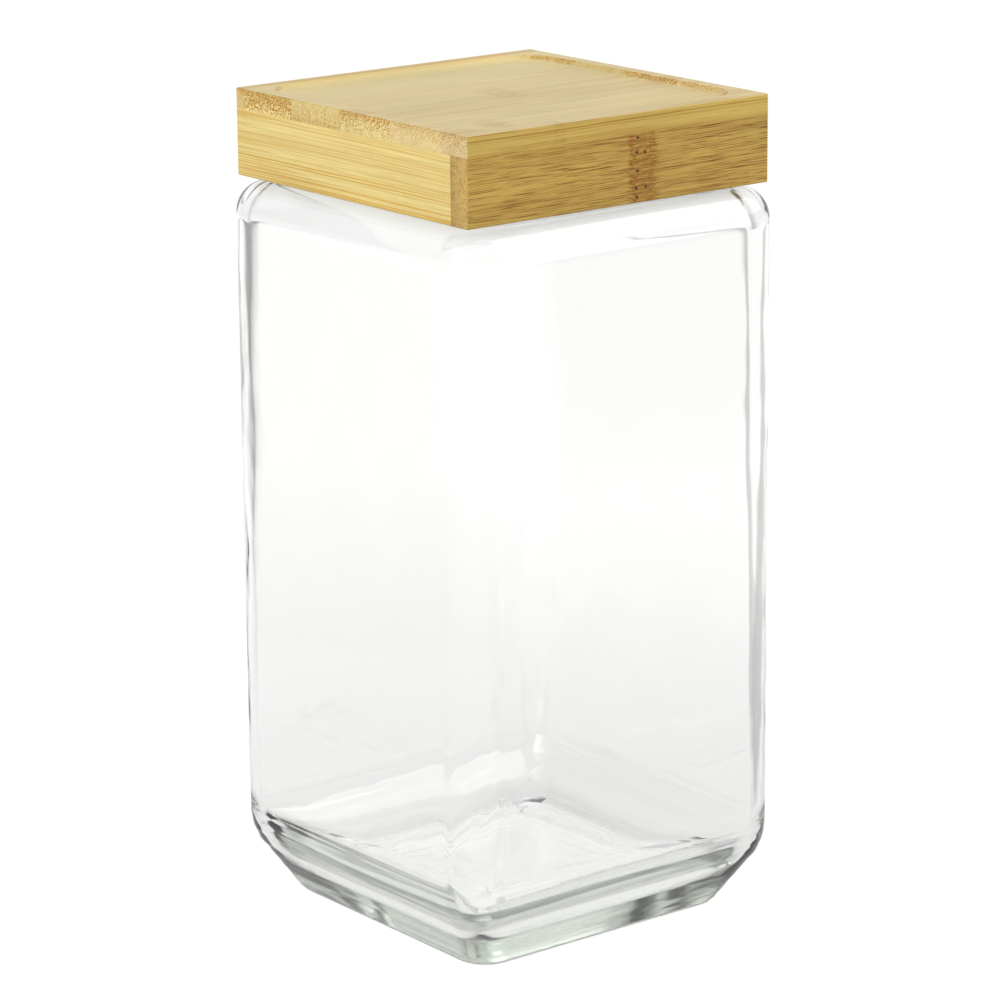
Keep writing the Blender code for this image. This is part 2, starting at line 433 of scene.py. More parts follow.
class Nodes:
    """A node tree with short calls for the nodes that the finishes are made of."""

    def __init__(self, tree: bpy.types.NodeTree) -> None:
        """Empties the tree and keeps it."""
        self.tree = tree
        tree.nodes.clear()

    def add(self, kind: str, inputs: dict | None = None, **settings: object) -> bpy.types.Node:
        """Adds a node.

        Args:
            kind: Blender's name for the node's type.
            inputs: Values or output sockets by input name or number.
            **settings: The node's own settings.

        Returns:
            The node.
        """
        node = self.tree.nodes.new(kind)
        for key, value in settings.items():
            setattr(node, key, value)
        for key, value in (inputs or {}).items():
            if isinstance(value, bpy.types.NodeSocket):
                self.tree.links.new(value, node.inputs[key])
            else:
                node.inputs[key].default_value = value
        return node

    def math(self, operation: str, first: object, second: object = 0.0, third: object = 0.0) -> Socket:
        """Returns the result of a Math node."""
        return self.add("ShaderNodeMath", {0: first, 1: second, 2: third}, operation=operation).outputs[0]

    def product(self, first: object, *others: object) -> Socket:
        """Multiplies values.

        Args:
            first: A number or an output socket.
            *others: More of them.

        Returns:
            The product.
        """
        for other in others:
            first = self.math("MULTIPLY", first, other)
        return first

    def largest(self, first: object, *others: object) -> Socket:
        """Compares values.

        Args:
            first: A number or an output socket.
            *others: More of them.

        Returns:
            The largest.
        """
        for other in others:
            first = self.math("MAXIMUM", first, other)
        return first

    def distance(self, value: object, place: float) -> Socket:
        """Returns how far a value lies from a place, on either side."""
        return self.math("ABSOLUTE", self.math("SUBTRACT", value, place))

    def fade(self, value: object, start: float, end: float, low: float = 0.0, high: float = 1.0) -> Socket:
        """Returns value carried softly from start..end to low..high."""
        inputs = {"Value": value, "From Min": start, "From Max": end, "To Min": low, "To Max": high}
        return self.add("ShaderNodeMapRange", inputs, interpolation_type="SMOOTHSTEP").outputs[0]

    def blend(self, share: object, first: object, second: object) -> Socket:
        """Returns the value that lies a share of the way from first to second."""
        return self.add("ShaderNodeMix", {0: share, 2: first, 3: second}).outputs[0]

    def vector(self, operation: str, *values: object) -> bpy.types.Node:
        """Returns a Vector Math node."""
        return self.add("ShaderNodeVectorMath", dict(enumerate(values)), operation=operation)

    def parts(self, vector: object) -> Sequence[Socket]:
        """Returns a vector's X, Y and Z."""
        return self.add("ShaderNodeSeparateXYZ", {0: vector}).outputs

    def flat(self, first: object, second: object) -> Socket:
        """Returns the vector (first, second, 0)."""
        return self.add("ShaderNodeCombineXYZ", {0: first, 1: second, 2: 0.0}).outputs[0]

    def along(self, vector: object, axis: Sequence[float]) -> Socket:
        """Returns how far a vector reaches along an axis."""
        return self.vector("DOT_PRODUCT", vector, tuple(axis)).outputs["Value"]

    def scaled(self, vector: object, scale: Sequence[float], shift: Sequence[float] = (0, 0, 0)) -> Socket:
        """Returns vector * scale + shift."""
        return self.vector("MULTIPLY_ADD", vector, tuple(scale), tuple(shift)).outputs[0]

    def noise(self, vector: object, detail: float = 2.0, rough: float = 0.5) -> bpy.types.Node:
        """Returns a Noise node that reads vector at scale 1."""
        inputs = {"Vector": vector, "Scale": 1.0, "Detail": detail, "Roughness": rough}
        return self.add("ShaderNodeTexNoise", inputs)

    def mix(self, share: object, first: object, second: object, blend: str = "MIX") -> Socket:
        """Returns a mix of two colours."""
        node = self.add("ShaderNodeMix", {0: share, 6: first, 7: second}, data_type="RGBA", blend_type=blend)
        return node.outputs[2]


def new_material(name: str) -> tuple[bpy.types.Material, Nodes]:
    """Makes a material with an empty node tree.

    Args:
        name: The material's name.

    Returns:
        The material and its nodes.
    """
    material = bpy.data.materials.new(name)
    material.use_nodes = True
    return material, Nodes(material.node_tree)


@dataclass(frozen=True)
class NodeBand:
    """The mark that a joint of the stem leaves across a strip, in millimetres along and across the fibre."""

    along: float
    length: float
    strength: float
    across: tuple[float, float] | None = None


@dataclass(frozen=True)
class BambooFinish:
    """Bamboo as a solid: fibre bundles run through pale tissue, so ends show dots and sides show streaks.

    Pitch, bands and pores are in millimetres, and the size of a bundle is a share of the pitch. Each pore has
    its place along the fibre and its height.
    """

    name: str
    tissue: Colour
    bundle: Colour
    seed: float
    fibre: Fibre = Fibre.ALONG_X
    skin: Skin = Skin.UP
    skin_range: tuple[float, float] = (231.7, 237.5)
    pitch: float = 0.8
    bundle_size: float = 0.3
    dark_ends: float = 0.75
    dark_sides: float = 0.6
    dark_top: float = 0.34
    drift: float = 0.012
    end_tone: Colour = (240, 222, 172)
    # The tops' own pale colour with a painted sheen: faces that look up are drawn paler and greyer, as
    # grazing light shows them.
    top_tone_and_sheen: Colour = (220, 202, 151)
    crust: float = 0.2
    streaks: float = 0.4
    hollow: float = 0.12
    dashes: float = 0.0
    bands: tuple[NodeBand, ...] = ()
    band_tone: Colour = (146, 92, 20)
    pores: tuple[tuple[float, float], ...] = ()
    pore_rim: Colour = (128, 84, 34)
    pore_tone: Colour = (38, 24, 12)
    relief: float = 0.12 * MM

    def material(self) -> bpy.types.Material:
        """Builds the node material.

        Returns:
            The material.
        """
        material, nodes = new_material(self.name)
        place = nodes.add("ShaderNodeTexCoord").outputs
        turn = (0.0, 0.0, self.fibre.value)
        millimetres = {"Vector": place["Object"], "Rotation": turn, "Scale": (1 / MM,) * 3}
        turned = nodes.add("ShaderNodeMapping", millimetres).outputs[0]
        normal = nodes.add("ShaderNodeMapping", {"Vector": place["Normal"], "Rotation": turn}).outputs[0]
        axes, facing = nodes.parts(turned), nodes.parts(normal)
        end_grain = nodes.fade(nodes.math("ABSOLUTE", facing[0]), 0.2, 0.6)
        upward = nodes.fade(facing[2], 0.5, 0.9)

        skin = self._skin(nodes, axes)
        bundles, chance = self._bundles(nodes, turned, skin)
        crowd = nodes.math("MULTIPLY_ADD", skin, 0.5, 0.65)
        varied = nodes.math("MULTIPLY_ADD", chance, 0.8, 0.4)
        darkness = nodes.blend(end_grain, nodes.blend(upward, self.dark_sides, self.dark_top), self.dark_ends)
        amount = nodes.product(nodes.product(bundles, darkness), nodes.product(varied, crowd))

        tone = self._grain(nodes, turned, 0.006, 0.5, 3.0, 0.6)
        hair = self._grain(nodes, turned, 0.03, 4.5, 2.0, 0.7)
        cloud = self._grain(nodes, turned, 0.02, 0.06)
        ragged = self._grain(nodes, turned, 0.3, 0.3)
        dash = self._grain(nodes, turned, 0.09, 8.5, 1.5)
        depth = nodes.math("MULTIPLY_ADD", ragged, 0.5, nodes.math("SUBTRACT", skin, 0.25))
        browner = (
            nodes.product(nodes.fade(tone, 0.42, 0.72), nodes.product(darkness, self.streaks)),
            nodes.product(nodes.fade(depth, 0.78, 1.0), nodes.product(end_grain, self.crust)),
            nodes.product(nodes.fade(facing[2], 0.1, 0.5), nodes.product(end_grain, self.hollow)),
            amount,
            nodes.product(nodes.fade(dash, 0.54, 0.64), nodes.product(darkness, self.dashes)),
        )
        # Faces that look up take the tops' colour, which is partly painted sheen.
        colour = nodes.mix(upward, linear(self.tissue), linear(self.top_tone_and_sheen))
        colour = nodes.mix(end_grain, colour, linear(self.end_tone))
        for share in browner:
            colour = nodes.mix(share, colour, linear(self.bundle))
        colour, mark = self._bands(nodes, turned, axes, colour)
        fine, broad = nodes.fade(hair, 0.2, 0.8, -0.1, 0.1), nodes.fade(cloud, 0.25, 0.75, 0.94, 1.04)
        shade = nodes.math("ADD", fine, broad)
        grey = nodes.add("ShaderNodeCombineColor", {0: shade, 1: shade, 2: shade}).outputs[0]
        colour, pore = self._pores(nodes, axes, nodes.mix(1.0, colour, grey, "MULTIPLY"))

        height = nodes.math("ADD", nodes.product(amount, -0.5), nodes.product(hair, 0.5))
        height = nodes.math("SUBTRACT", height, nodes.product(pore, 1.5))
        height = nodes.math("MULTIPLY_ADD", mark, 0.3, height)
        relief = {"Strength": 0.35, "Distance": self.relief, "Height": height}
        bump = nodes.add("ShaderNodeBump", relief).outputs[0]
        rough = nodes.math("MULTIPLY_ADD", amount, 0.12, nodes.fade(hair, 0.2, 0.8, 0.4, 0.52))
        look = {"Base Color": colour, "Roughness": rough, "Normal": bump, "Specular IOR Level": 0.3}
        shader = nodes.add("ShaderNodeBsdfPrincipled", look)
        nodes.add("ShaderNodeOutputMaterial", {"Surface": shader.outputs[0]})
        return material

    def _grain(
        self,
        nodes: Nodes,
        turned: object,
        along: float,
        across: float,
        detail: float = 2.0,
        rough: float = 0.5,
    ) -> Socket:
        """Makes noise that is drawn out along the fibre.

        Args:
            nodes: The tree.
            turned: Millimetres with the fibre along X.
            along: Cycles a millimetre along the fibre.
            across: Cycles a millimetre across it.
            detail: Number of finer layers.
            rough: Strength of the finer layers.

        Returns:
            The noise, about 0 to 1.
        """
        shift = (self.seed, self.seed * 1.7, -self.seed)
        return nodes.noise(nodes.scaled(turned, (along, across, across), shift), detail, rough).outputs[0]

    def _bundles(self, nodes: Nodes, turned: object, skin: object) -> tuple[Socket, Socket]:
        """Makes the fibre bundles: cells in the plane across the fibre, which wander slowly along it.

        Args:
            nodes: The tree.
            turned: Millimetres with the fibre along X.
            skin: How near the stem's skin is, where bundles are thicker.

        Returns:
            How much of a bundle there is at a place, and a chance value for each bundle.
        """
        shift = (self.seed * 3.1, self.seed, self.seed * 0.7)
        wander = nodes.noise(nodes.scaled(turned, (self.drift, 0.08, 0.08), shift), 2.0).outputs[1]
        moved = nodes.vector("SUBTRACT", wander, (0.5, 0.5, 0.5)).outputs[0]
        moved = nodes.parts(nodes.vector("MULTIPLY_ADD", moved, (0.0, 1.6, 2.2), turned).outputs[0])
        pattern = {"Vector": nodes.flat(moved[1], moved[2]), "Scale": 1.0 / self.pitch, "Randomness": 0.8}
        cells = nodes.add("ShaderNodeTexVoronoi", pattern, voronoi_dimensions="2D").outputs
        chance = nodes.add("ShaderNodeSeparateColor", {0: cells["Color"]}).outputs
        distance = nodes.math("MULTIPLY_ADD", nodes.math("SUBTRACT", chance[1], 0.5), 0.12, cells["Distance"])
        distance = nodes.math("MULTIPLY_ADD", nodes.math("SUBTRACT", skin, 0.4), -0.1, distance)
        return nodes.fade(distance, self.bundle_size * 1.25, self.bundle_size * 0.7), chance[0]

    def _skin(self, nodes: Nodes, axes: Sequence[Socket]) -> Socket:
        """Works out how near a place is to the stem's skin.

        Args:
            nodes: The tree.
            axes: Millimetres along the fibre, across it and up.

        Returns:
            The nearness, from 0 to 1.
        """
        axis, sign = self.skin.value
        low, high = self.skin_range if sign > 0 else self.skin_range[::-1]
        return nodes.fade(axes[axis], low, high)

    def _bands(
        self, nodes: Nodes, turned: object, axes: Sequence[Socket], colour: object
    ) -> tuple[Socket, object]:
        """Lays the brown, mottled marks of the stem's joints over the colour.

        Args:
            nodes: The tree.
            turned: Millimetres with the fibre along X.
            axes: The same as three values.
            colour: The colour so far.

        Returns:
            The new colour and how much of a mark there is.
        """
        mottle = self._grain(nodes, turned, 0.45, 1.7, 3.0, 0.65)
        edge = self._grain(nodes, turned, 0.05, 0.9, 2.0, 0.7)
        spots = nodes.fade(mottle, 0.4, 0.58, 0.15, 1.0)
        uneven = nodes.math("SUBTRACT", edge, 0.5)
        whole: object = 0.0
        for band in self.bands:
            shifted = nodes.math("MULTIPLY_ADD", uneven, band.length * 0.9 + 2.0, axes[0])
            mask = nodes.fade(nodes.distance(shifted, band.along), band.length * 0.7, band.length * 0.25)
            if band.across:
                low, high = band.across
                aside = nodes.distance(axes[1], (low + high) / 2)
                mask = nodes.product(mask, nodes.fade(aside, (high - low) * 0.7, 0.0))
            whole = nodes.largest(whole, nodes.product(mask, spots, band.strength))
        return nodes.mix(whole, colour, linear(self.band_tone)), whole

    def _pores(self, nodes: Nodes, axes: Sequence[Socket], colour: object) -> tuple[object, object]:
        """Sinks the dark pores of a stem joint into the piece's front face.

        Args:
            nodes: The tree.
            axes: Millimetres along the fibre, across it and up.
            colour: The colour so far.

        Returns:
            The new colour and how much of a pore there is.
        """
        if not self.pores:
            return colour, 0.0
        face = nodes.flat(axes[0], axes[2])
        away = [nodes.vector("DISTANCE", face, (*pore, 0.0)).outputs["Value"] for pore in self.pores]
        nearest = away[0]
        for other in away[1:]:
            nearest = nodes.math("MINIMUM", nearest, other)
        rim = nodes.fade(nearest, 1.1, 0.4, 0.0, 0.5)
        pore = nodes.fade(nearest, 0.46, 0.24)
        colour = nodes.mix(rim, colour, linear(self.pore_rim))
        return nodes.mix(pore, colour, linear(self.pore_tone)), pore


@dataclass(frozen=True)
class GlassFinish:
    """Pressed soda glass, faintly green where thick, stippled underneath and with orange peel on the heel."""

    name: str = "pressed_glass"
    tint: Colour = (208, 219, 206)
    density: float = 10.0
    stipple: float = 0.9
    stipple_height: float = 1.2 * MM
    stipple_edge: float = 0.4 * MM
    orange_peel: float = 0.15
    peel_low: float = 12 * MM
    peel_high: float = 26 * MM

    def material(self) -> bpy.types.Material:
        """Builds the node material.

        Returns:
            The material.
        """
        material, nodes = new_material(self.name)
        height = nodes.parts(nodes.add("ShaderNodeTexCoord").outputs["Object"])[2]
        stipple_top = self.stipple_height + self.stipple_edge
        under = nodes.fade(height, self.stipple_height, stipple_top, self.stipple, 0.0)
        heel = nodes.fade(height, self.peel_high, self.peel_low, 0.0, self.orange_peel)
        look = {
            "Base Color": WHITE,
            "Roughness": nodes.largest(under, heel),
            "IOR": 1.5,
            "Transmission Weight": 1.0,
        }
        shader = nodes.add("ShaderNodeBsdfPrincipled", look)
        body = nodes.add("ShaderNodeVolumeAbsorption", {"Color": linear(self.tint), "Density": self.density})
        nodes.add("ShaderNodeOutputMaterial", {"Surface": shader.outputs[0], "Volume": body.outputs[0]})
        return material


@dataclass(frozen=True)
class SiliconeFinish:
    """Milky silicone rubber, a little cloudy, with a fine dull grain. Grain and haze are cycles a metre."""

    name: str = "milky_silicone"
    colour: Colour = (226, 228, 224)
    cloudy: Colour = (212, 214, 208)
    grain: float = 900.0
    haze: float = 60.0
    relief: float = 0.05 * MM

    def material(self) -> bpy.types.Material:
        """Builds the node material.

        Returns:
            The material.
        """
        material, nodes = new_material(self.name)
        place = nodes.add("ShaderNodeTexCoord").outputs["Object"]
        grain = nodes.noise(nodes.scaled(place, (self.grain,) * 3), 3.0).outputs[0]
        haze = nodes.noise(nodes.scaled(place, (self.haze,) * 3), 2.0).outputs[0]
        bump = nodes.add("ShaderNodeBump", {"Strength": 0.2, "Distance": self.relief, "Height": grain})
        look = {
            "Base Color": nodes.mix(nodes.fade(haze, 0.3, 0.7), linear(self.colour), linear(self.cloudy)),
            "Roughness": nodes.fade(grain, 0.3, 0.7, 0.36, 0.5),
            "Normal": bump.outputs[0],
            "Subsurface Weight": 0.3,
            "Subsurface Scale": 2 * MM,
        }
        shader = nodes.add("ShaderNodeBsdfPrincipled", look)
        nodes.add("ShaderNodeOutputMaterial", {"Surface": shader.outputs[0]})
        return material


# Sub-assemblies


@dataclass(frozen=True)
class GlassJar:
    """The pressed jar: foot, chamfer, walls, shoulder, neck and the hollow inside, in metres."""

    body_half: float = 57.0 * MM
    body_corner: float = 12.5 * MM
    body_height: float = 211.2 * MM
    shoulder_round: float = 8.7 * MM
    foot_half: float = 45.0 * MM
    foot_corner: float = 8.7 * MM
    chamfer_height: float = 20.3 * MM
    chamfer_bend: float = 18.0 * MM
    foot_round: float = 1.6 * MM
    ring_half: float = 36.0 * MM
    ring_round: float = 2.0 * MM
    push_up_half: float = 32.5 * MM
    push_up_height: float = 0.8 * MM
    push_up_round: float = 3.0 * MM
    push_up_crown: Station = Station(22.0 * MM, 0.9 * MM, 6.0 * MM)
    neck_half: float = 44.8 * MM
    neck_corner: float = 14.0 * MM
    neck_root_round: float = 1.2 * MM
    mouth_half: float = 41.3 * MM
    rim_height: float = 229.9 * MM
    rim_round: float = 1.3 * MM
    inside_half: float = 53.8 * MM
    inside_corner: float = 11.5 * MM
    roof: float = 3.3 * MM
    roof_edge_round: float = 2.0 * MM
    roof_round: float = 8.2 * MM
    base_thickness: float = 10.8 * MM
    floor_half: float = 35.3 * MM
    floor_crown: float = 1.2 * MM
    crown_inset: float = 14.0 * MM
    crown_corner: float = 5.0 * MM
    heel_corner: float = 9.2 * MM
    soft: Wave = Wave(4, 0.09 * MM, (3, 16), 60 * MM)
    fine: Wave = Wave(9, 0.03 * MM, (12, 40), 22 * MM)
    bowl: Wave = Wave(21, 0.14 * MM, (1, 6), 26 * MM)
    ripple: Wave = Wave(14, 0.11 * MM, (0, 5), 4 * MM)
    wall_low: float = 20.0 * MM
    wall_fade: float = 15.0 * MM
    below_shoulder: float = 14.0 * MM
    shoulder_fade: float = 20.0 * MM
    base_high: float = 30.0 * MM
    base_fade: float = 12.0 * MM
    outside_share: float = 0.25
    foot_zone: float = 1.0 * MM
    foot_lift: float = 2.4
    turn_steps: int = 14
    row_span: float = 1.2 * MM
    section: SquareSection = SquareSection(28, 16)
    finish: GlassFinish = GlassFinish()

    def outside(self) -> list[Station]:
        """Lists the corners of the profile from the push-up under the foot to the rim.

        Returns:
            The stations in order.
        """
        foot, body, neck = self.foot_corner, self.body_corner, self.neck_corner
        return [
            self.push_up_crown,
            Station(self.push_up_half, self.push_up_height, foot, self.push_up_round),
            Station(self.ring_half, 0.0, foot, self.ring_round),
            Station(self.foot_half, 0.0, foot, self.foot_round),
            Station(self.body_half, self.chamfer_height, body, self.chamfer_bend),
            Station(self.body_half, self.body_height, body, self.shoulder_round),
            Station(self.neck_half, self.body_height, neck, self.neck_root_round),
            Station(self.neck_half, self.rim_height, neck, self.rim_round),
        ]

    def inside(self) -> list[Station]:
        """Lists the corners of the profile down the inside, from the rim to the low crown of the floor.

        Returns:
            The stations in order.
        """
        mouth_corner = self.neck_corner - (self.neck_half - self.mouth_half)
        roof, floor = self.body_height - self.roof, self.base_thickness
        return [
            Station(self.mouth_half, self.rim_height, mouth_corner, self.rim_round),
            Station(self.mouth_half, roof, mouth_corner, self.roof_edge_round),
            Station(self.inside_half, roof, self.inside_corner, self.roof_round),
            Station(self.inside_half, floor, self.heel_corner, self.inside_half - self.floor_half),
            Station(self.floor_half - self.crown_inset, floor + self.floor_crown, self.crown_corner),
        ]

    def swell(self, rows: np.ndarray) -> np.ndarray:
        """Works out how far the glass swells and sinks, as pressed glass does.

        The walls have broad waves, mostly on the inside. The base has a ripple outside and a waviness inside.
        Under the foot the ripple is drawn in by a plain amount, so that none of it reaches the floor.

        Args:
            rows: The profile as half width, height and corner radius.

        Returns:
            The swell in metres, sections by columns.
        """
        height = rows[:, 1]
        way = np.concatenate([[0.0], np.cumsum(np.linalg.norm(np.diff(rows[:, :2], axis=0), axis=1))])
        around = np.linspace(0.0, 2 * np.pi, self.section.columns(), endpoint=False)
        inner = np.arange(len(rows)) > np.argmax(height)
        under_shoulder = ramp(-height, self.below_shoulder - self.body_height, self.shoulder_fade)
        wall = ramp(height, self.wall_low, self.wall_fade) * under_shoulder
        base = ramp(-height, -self.base_high, self.base_fade)
        ripple = self.ripple.over(around, way)
        ripple -= np.where(height[:, None] < self.foot_zone, self.ripple.size * self.foot_lift, 0.0)
        broad = self.soft.over(around, way) + self.fine.over(around, way)
        low = np.where(inner[:, None], self.bowl.over(around, way), ripple)
        return broad * (np.where(inner, 1.0, self.outside_share) * wall)[:, None] + low * base[:, None]

    def build(self) -> bpy.types.Object:
        """Lofts the glass.

        Returns:
            The piece.
        """
        rows = smooth_profile([*self.outside(), *self.inside()], self.turn_steps, self.row_span)
        points, faces = capped_loft(self.section.loft(rows, self.swell(rows)))
        material = self.finish.material()
        return add_piece("glass_jar", points, faces, material, Body.JAR, "jar_body", sharp=60)


JAR_WIDTH = 2 * GlassJar.body_half


def corner_in_neck(half: float | np.ndarray) -> float | np.ndarray:
    """Returns the corner radius, in millimetres, of a section of this half width, parallel to the neck."""
    return half - (GlassJar.neck_half - GlassJar.neck_corner) / MM


@dataclass(frozen=True)
class Strip:
    """One bamboo strip or rail: the CAD node it stands for, its corners in millimetres and its finish."""

    name: str
    node: str
    low: tuple[float, float, float]
    high: tuple[float, float, float]
    slot: Slot
    finish: BambooFinish


@dataclass(frozen=True)
class BambooLid:
    """The lid in millimetres: six strips glued edge to edge with a shallow dish, four rails and the plug."""

    half: float = 53.0
    top: float = 237.5
    board_under: float = 231.7
    bottom: float = 212.5
    ease: float = 0.55
    ease_steps: int = 5
    dish_half: float = 48.5
    dish_corner: float = 12.5
    dish_depth: float = 1.6
    dish_cove: float = 4.0
    dish_edge_rise: float = 0.12
    dish_edge_width: float = 0.8
    dish_margin: float = 0.1
    cove_step: float = 0.45
    plan_step: float = 6.0
    rise_step: float = 3.0
    glue: float = 0.02
    borders: tuple[float, ...] = (53.0, 48.8, 26.05, 3.3, -19.45, -42.2, -53.0)
    inside: float = 46.0
    plug_half: float = 37.5
    plug_low: float = 222.1
    plug_high: float = 231.4
    groove_low: float = 225.9
    groove_high: float = 228.5
    groove_depth: float = 1.2
    groove_round: float = 0.2
    plug_inset: float = 2.0
    foot_round: float = 0.8
    top_round: float = 0.3
    plug_section: SquareSection = SquareSection(10, 10)
    finishes: dict[str, BambooFinish] = field(default_factory=dict)

    def strips(self) -> list[Strip]:
        """Divides the top board into its strips.

        Returns:
            The strips from back to front.
        """
        parts = []
        for number, (back, front) in enumerate(zip(self.borders, self.borders[1:]), start=1):
            node = f"top_strip_{number}"
            shy = self.glue if number > 1 else 0.0
            low = (-self.half, front, self.board_under)
            high = (self.half, back - shy, self.top)
            parts.append(Strip(f"board_strip_{number}", node, low, high, Slot.BOARD, self.finishes[node]))
        return parts

    def rails(self) -> list[Strip]:
        """Places the rails: the front one is full width, and the back one sits between the side rails.

        Returns:
            The four rails.
        """
        top, low, half, glue = self.board_under - self.glue, self.bottom, self.half, self.glue
        inside = self.inside
        spans = (
            ("front", (-half, -half), (half, -inside)),
            ("left", (-half, -inside + glue), (-inside, half)),
            ("right", (inside, -inside + glue), (half, half)),
            ("back", (-inside + glue, inside), (inside - glue, half)),
        )
        return [
            Strip(
                f"{side}_frame_rail", f"{side}_rail", (*start, low), (*end, top), Slot.RAIL,
                self.finishes[f"{side}_rail"],
            )
            for side, start, end in spans
        ]

    def dish(self, points: np.ndarray) -> np.ndarray:
        """Works out how far the dish sinks below the lid's top.

        The way in from the edge of a rounded square is found first. Across the cove the depth follows a
        quarter of an ellipse, depth * sqrt(1 - (1 - way / cove) ** 2), and beyond it the floor is flat. The
        cove starts a little shallower than that, which rounds its edge.

        Args:
            points: Points in millimetres, n by 3.

        Returns:
            The depth at each point, in millimetres.
        """
        beyond = np.abs(points[:, :2]) - (self.dish_half - self.dish_corner)
        outside = np.linalg.norm(np.maximum(beyond, 0.0), axis=1)
        inside = np.minimum(beyond.max(axis=1), 0.0)
        way = np.clip(self.dish_corner - outside - inside, 0.0, self.dish_cove)
        depth = self.dish_depth * np.sqrt(1.0 - (1.0 - way / self.dish_cove) ** 2)
        rise = self.dish_edge_rise * np.sin(np.pi * np.clip(way / self.dish_edge_width, 0.0, 1.0))
        return depth - rise * (depth > 0)

    def shape(self, strip: Strip) -> tuple[np.ndarray, np.ndarray]:
        """Makes a strip's surface, with the dish sunk into its top and the lid's outer edges eased.

        Args:
            strip: The strip or rail.

        Returns:
            The points in metres and the quads.
        """
        ease, fine = self.ease, self.ease / self.ease_steps
        rims = [(-self.half, -self.half + ease, fine), (self.half - ease, self.half, fine)]
        edge, floor = self.dish_half + self.dish_margin, self.dish_half - self.dish_corner
        cove = [(-edge, -floor, self.cove_step), (floor, edge, self.cove_step)]
        board = strip.slot is Slot.BOARD
        sides = rims + cove if board else rims
        rise = [(self.bottom, self.bottom + ease, fine), (self.top - ease, self.top, fine)]
        low, high = np.array(strip.low), np.array(strip.high)
        lines = [grid_lines(low[i], high[i], sides, self.plan_step) for i in range(2)]
        points, faces = lattice_box(*lines, grid_lines(low[2], high[2], rise, self.rise_step))
        if board:
            share = (points[:, 2] - low[2]) / (high[2] - low[2])
            points[:, 2] -= self.dish(points) * share
        corner = np.array([self.half, self.half, 0.0])
        low_box = -corner + [0.0, 0.0, self.bottom]
        high_box = corner + [0.0, 0.0, self.top]
        return eased(points, low_box, high_box, ease) * MM, faces

    def plug(self) -> tuple[np.ndarray, list[list[int]]]:
        """Lofts the plug board with the groove that holds the seal.

        Returns:
            The points in metres and the faces.
        """
        half, low, high = self.plug_half, self.plug_low, self.plug_high
        bottom, top, waist = self.groove_low, self.groove_high, self.plug_half - self.groove_depth
        inset, turn = half - self.plug_inset, self.groove_round
        levels = (
            (inset, low, 0.0), (half, low, self.foot_round), (half, bottom, turn), (waist, bottom, turn),
            (waist, top, turn), (half, top, turn), (half, high, self.top_round), (inset, high, 0.0),
        )
        stations = [
            Station(width * MM, height * MM, corner_in_neck(width) * MM, rounding * MM)
            for width, height, rounding in levels
        ]
        rows = smooth_profile(stations, steps=4, span=self.plan_step * MM)
        return capped_loft(self.plug_section.loft(rows))

    def build(self) -> None:
        """Builds every bamboo piece of the lid."""
        for strip in [*self.strips(), *self.rails()]:
            points, faces = self.shape(strip)
            material = strip.finish.material()
            add_piece(strip.name, points, faces, material, Body.LID, strip.node, sharp=32)
        points, faces = self.plug()
        material = self.finishes["plug_board"].material()
        add_piece("plug_block", points, faces, material, Body.LID, "plug_board", sharp=40)


@dataclass(frozen=True)
class SiliconeSeal:
    """The ring round the plug in millimetres: a flange on the rim, fins in the mouth, a rib in the groove."""

    inner: float = 37.8
    outer: float = 39.4
    flange: float = 43.3
    low: float = 223.2
    flange_low: float = 230.2
    flange_high: float = 231.4
    rib_low: float = 226.2
    rib_high: float = 228.2
    rib_depth: float = 1.2
    fins: int = 3
    fin_reach: float = 1.6
    fin_pitch: float = 2.2
    fin_rise: float = 1.4
    fin_edge: float = 0.35
    section: SquareSection = SquareSection(8, 12)
    finish: SiliconeFinish = SiliconeFinish()

    def outline(self) -> list[tuple[float, float]]:
        """Works out the ring's cross-section.

        Returns:
            Its corners as half width and height.
        """
        inner, outer = self.inner, self.outer
        rib, tip = inner - self.rib_depth, outer + self.fin_reach
        points = [
            (self.flange, self.flange_low), (self.flange, self.flange_high), (inner, self.flange_high),
            (inner, self.rib_high), (rib, self.rib_high), (rib, self.rib_low), (inner, self.rib_low),
            (inner, self.low), (outer, self.low),
        ]
        for fin in range(self.fins):
            root = self.low + fin * self.fin_pitch
            top = root + self.fin_rise
            points += [(tip, top - self.fin_edge), (tip, top), (outer, top), (outer, root + self.fin_pitch)]
        return [*points[:-1], (outer, self.flange_low)]

    def build(self) -> bpy.types.Object:
        """Carries the cross-section round the plug.

        Returns:
            The piece.
        """
        outline = np.array(self.outline())
        rows = np.column_stack([outline, corner_in_neck(outline[:, 0])]) * MM
        points = self.section.loft(rows)
        faces = ring_faces(len(rows), self.section.columns(), True)
        material = self.finish.material()
        points, node = points.reshape(-1, 3), "silicone_seal"
        return add_piece("seal_ring", points, faces, material, Body.LID, node, sharp=30)


@dataclass(frozen=True)
class Lamp:
    """A square soft lamp: where it stands and its side in metres, its watts and its colour on a screen."""

    name: str
    place: tuple[float, float, float]
    size: float
    power: float
    colour: Colour

    def build(self, target: tuple[float, float, float]) -> None:
        """Adds the lamp to the scene and turns it to its target.

        Args:
            target: The place that it faces, in metres.
        """
        lamp = bpy.data.lights.new(self.name, "AREA")
        lamp.shape, lamp.size, lamp.energy = "SQUARE", self.size, self.power
        lamp.color = linear(self.colour)[:3]
        source = add_object(self.name, lamp)
        source.location = self.place
        aim = Vector(target) - Vector(self.place)
        source.rotation_euler = aim.to_track_quat("-Z", "Y").to_euler()


